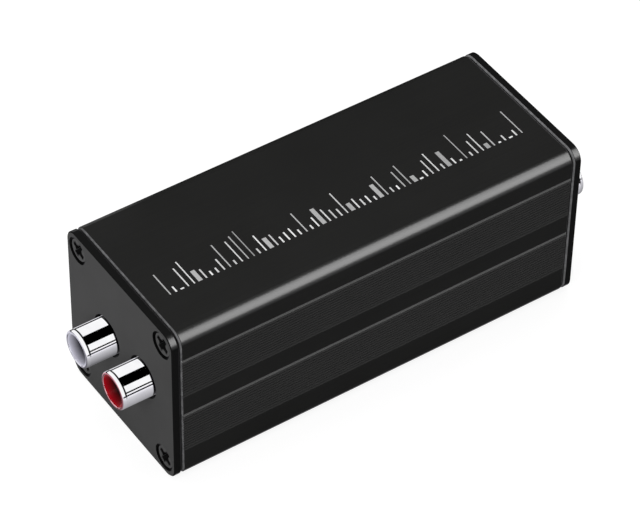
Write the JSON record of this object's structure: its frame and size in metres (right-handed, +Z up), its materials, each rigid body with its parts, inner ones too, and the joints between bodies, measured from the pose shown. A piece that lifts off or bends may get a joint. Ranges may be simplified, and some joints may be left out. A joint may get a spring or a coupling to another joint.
{
  "type": "ground loop isolator",
  "caption": "Passive stereo ground loop isolator: a black extruded box with grooved sides, screwed end plates and white and red phono jacks at both ends.",
  "frame": {"origin": "on the surface that the box rests on, under the middle of the box", "axes": "+X along the box from the input end to the output end, +Y across it to the white jacks' side, +Z up"},
  "size_m": [0.1134, 0.039, 0.04],
  "materials": {
    "anodised_housing": "satin black anodising",
    "anodised_plate": "fine matt black anodising",
    "blackened_screw": "black oxide",
    "bright_chrome": "polished",
    "white_moulding": "gloss",
    "red_moulding": "gloss",
    "contact_metal": "bare",
    "tinned_metal": "tinned",
    "board_laminate": "solder resist",
    "core_laminations": "varnished",
    "bobbin_nylon": "moulded",
    "copper_wire": "enamelled",
    "amber_tape": "film"
  },
  "bodies": {
    "root": {"housing": "anodised_housing", "circuit_board": "board_laminate", "input_end_plate": "anodised_plate", "input_plate_screws": "blackened_screw", "input_white_jack_shell": "bright_chrome", "input_white_jack_body": "white_moulding", "input_white_jack_contact": "contact_metal", "input_white_jack_ground_lug": "tinned_metal", "input_red_jack_shell": "bright_chrome", "input_red_jack_body": "red_moulding", "input_red_jack_contact": "contact_metal", "input_red_jack_ground_lug": "tinned_metal", "output_end_plate": "anodised_plate", "output_plate_screws": "blackened_screw", "output_white_jack_shell": "bright_chrome", "output_white_jack_body": "white_moulding", "output_white_jack_contact": "contact_metal", "output_white_jack_ground_lug": "tinned_metal", "output_red_jack_shell": "bright_chrome", "output_red_jack_body": "red_moulding", "output_red_jack_contact": "contact_metal", "output_red_jack_ground_lug": "tinned_metal", "white_transformer_core": "core_laminations", "white_transformer_bobbin": "bobbin_nylon", "white_transformer_primary_winding": "copper_wire", "white_transformer_secondary_winding": "copper_wire", "white_transformer_tape": "amber_tape", "white_transformer_pins": "tinned_metal", "red_transformer_core": "core_laminations", "red_transformer_bobbin": "bobbin_nylon", "red_transformer_primary_winding": "copper_wire", "red_transformer_secondary_winding": "copper_wire", "red_transformer_tape": "amber_tape", "red_transformer_pins": "tinned_metal"}
  },
  "joints": []
}
